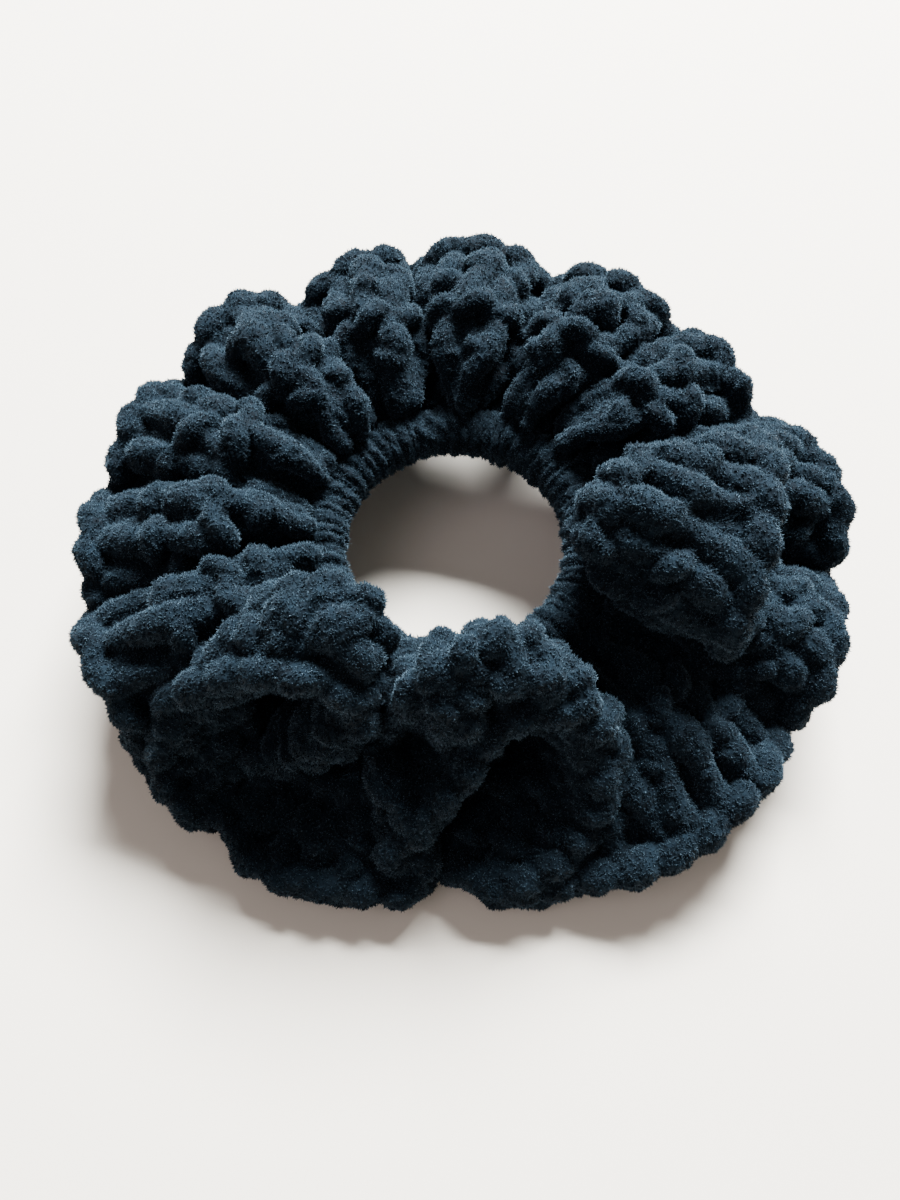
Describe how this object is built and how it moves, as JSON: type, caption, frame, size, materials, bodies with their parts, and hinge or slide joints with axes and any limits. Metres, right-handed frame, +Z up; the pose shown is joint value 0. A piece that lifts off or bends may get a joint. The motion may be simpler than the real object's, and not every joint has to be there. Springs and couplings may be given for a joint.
{
  "type": "scrunchie",
  "caption": "Crocheted chenille scrunchie: an elastic hair tie wrapped in single crochet with a full folded ruffle around it, stretching evenly about the hair opening.",
  "frame": {"origin": "on the table, below the centre of the relaxed ring, which is the middle of the hair opening", "axes": "+Z up, along the ring's axis; +X towards the tallest fold; +Y towards the far side, where the tie is joined"},
  "size_m": [0.117, 0.114, 0.04],
  "materials": {
    "chenille_yarn": "matte",
    "braided_cover": "matte",
    "elastic_rubber": "matte",
    "join_glue": "satin"
  },
  "bodies": {
    "segment_01": {"tie_core_01": "elastic_rubber", "tie_cover_01": "braided_cover", "foundation_01": "chenille_yarn", "ruffle_01": "chenille_yarn"},
    "segment_02": {"tie_core_02": "elastic_rubber", "tie_cover_02": "braided_cover", "foundation_02": "chenille_yarn", "ruffle_02": "chenille_yarn"},
    "segment_03": {"tie_core_03": "elastic_rubber", "tie_cover_03": "braided_cover", "foundation_03": "chenille_yarn", "ruffle_03": "chenille_yarn"},
    "segment_04": {"tie_core_04": "elastic_rubber", "tie_cover_04": "braided_cover", "foundation_04": "chenille_yarn", "ruffle_04": "chenille_yarn"},
    "segment_05": {"tie_core_05": "elastic_rubber", "tie_cover_05": "braided_cover", "foundation_05": "chenille_yarn", "ruffle_05": "chenille_yarn", "tie_join": "join_glue"},
    "segment_06": {"tie_core_06": "elastic_rubber", "tie_cover_06": "braided_cover", "foundation_06": "chenille_yarn", "ruffle_06": "chenille_yarn"},
    "segment_07": {"tie_core_07": "elastic_rubber", "tie_cover_07": "braided_cover", "foundation_07": "chenille_yarn", "ruffle_07": "chenille_yarn"},
    "segment_08": {"tie_core_08": "elastic_rubber", "tie_cover_08": "braided_cover", "foundation_08": "chenille_yarn", "ruffle_08": "chenille_yarn"},
    "segment_09": {"tie_core_09": "elastic_rubber", "tie_cover_09": "braided_cover", "foundation_09": "chenille_yarn", "ruffle_09": "chenille_yarn"},
    "segment_10": {"tie_core_10": "elastic_rubber", "tie_cover_10": "braided_cover", "foundation_10": "chenille_yarn", "ruffle_10": "chenille_yarn"},
    "segment_11": {"tie_core_11": "elastic_rubber", "tie_cover_11": "braided_cover", "foundation_11": "chenille_yarn", "ruffle_11": "chenille_yarn", "start_knot": "chenille_yarn"},
    "segment_12": {"tie_core_12": "elastic_rubber", "tie_cover_12": "braided_cover", "foundation_12": "chenille_yarn", "ruffle_12": "chenille_yarn", "yarn_tail": "chenille_yarn"},
    "segment_13": {"tie_core_13": "elastic_rubber", "tie_cover_13": "braided_cover", "foundation_13": "chenille_yarn", "ruffle_13": "chenille_yarn"},
    "segment_14": {"tie_core_14": "elastic_rubber", "tie_cover_14": "braided_cover", "foundation_14": "chenille_yarn", "ruffle_14": "chenille_yarn"}
  },
  "joints": [
    {"name": "stretch_12_13", "type": "slide", "parent": "segment_12", "child": "segment_13", "axis": [0.9188, 0.3947, 0], "range_m": [0, 0.01205], "stiffness_N_per_m": 168},
    {"name": "stretch_13_14", "type": "slide", "parent": "segment_13", "child": "segment_14", "axis": [0.5188, 0.8549, 0], "range_m": [0, 0.00867], "stiffness_N_per_m": 233.8},
    {"name": "stretch_14_01", "type": "slide", "parent": "segment_14", "child": "segment_01", "axis": [0.1262, 0.992, 0], "range_m": [0, 0.00548], "stiffness_N_per_m": 370.3},
    {"name": "stretch_01_02", "type": "slide", "parent": "segment_01", "child": "segment_02", "axis": [-0.1822, 0.9833, 0], "range_m": [0, 0.00504], "stiffness_N_per_m": 402.7},
    {"name": "stretch_02_03", "type": "slide", "parent": "segment_02", "child": "segment_03", "axis": [-0.4656, 0.885, 0], "range_m": [0, 0.00519], "stiffness_N_per_m": 391.3},
    {"name": "stretch_03_04", "type": "slide", "parent": "segment_03", "child": "segment_04", "axis": [-0.7431, 0.6691, 0], "range_m": [0, 0.0068], "stiffness_N_per_m": 298.6},
    {"name": "stretch_04_05", "type": "slide", "parent": "segment_04", "child": "segment_05", "axis": [-0.9524, 0.3049, 0], "range_m": [0, 0.00752], "stiffness_N_per_m": 269.7},
    {"name": "stretch_12_11", "type": "slide", "parent": "segment_12", "child": "segment_11", "axis": [-0.955, 0.2965, 0], "range_m": [0, 0.01151], "stiffness_N_per_m": 176.1},
    {"name": "stretch_11_10", "type": "slide", "parent": "segment_11", "child": "segment_10", "axis": [-0.6157, 0.788, 0], "range_m": [0, 0.00882], "stiffness_N_per_m": 230},
    {"name": "stretch_10_09", "type": "slide", "parent": "segment_10", "child": "segment_09", "axis": [-0.2122, 0.9772, 0], "range_m": [0, 0.00636], "stiffness_N_per_m": 319.1},
    {"name": "stretch_09_08", "type": "slide", "parent": "segment_09", "child": "segment_08", "axis": [0.165, 0.9863, 0], "range_m": [0, 0.0065], "stiffness_N_per_m": 312},
    {"name": "stretch_08_07", "type": "slide", "parent": "segment_08", "child": "segment_07", "axis": [0.5373, 0.8434, 0], "range_m": [0, 0.00709], "stiffness_N_per_m": 286.3},
    {"name": "stretch_07_06", "type": "slide", "parent": "segment_07", "child": "segment_06", "axis": [0.8387, 0.5446, 0], "range_m": [0, 0.00738], "stiffness_N_per_m": 275}
  ],
  "couplings": [
    {"joint": "stretch_13_14", "follows": "stretch_12_13", "ratio": 0.71862},
    {"joint": "stretch_14_01", "follows": "stretch_12_13", "ratio": 0.4537},
    {"joint": "stretch_01_02", "follows": "stretch_12_13", "ratio": 0.4172},
    {"joint": "stretch_02_03", "follows": "stretch_12_13", "ratio": 0.42937},
    {"joint": "stretch_03_04", "follows": "stretch_12_13", "ratio": 0.56272},
    {"joint": "stretch_04_05", "follows": "stretch_12_13", "ratio": 0.62293},
    {"joint": "stretch_12_11", "follows": "stretch_12_13", "ratio": 0.95378},
    {"joint": "stretch_11_10", "follows": "stretch_12_13", "ratio": 0.73053},
    {"joint": "stretch_10_09", "follows": "stretch_12_13", "ratio": 0.52647},
    {"joint": "stretch_09_08", "follows": "stretch_12_13", "ratio": 0.53857},
    {"joint": "stretch_08_07", "follows": "stretch_12_13", "ratio": 0.58684},
    {"joint": "stretch_07_06", "follows": "stretch_12_13", "ratio": 0.61091}
  ]
}
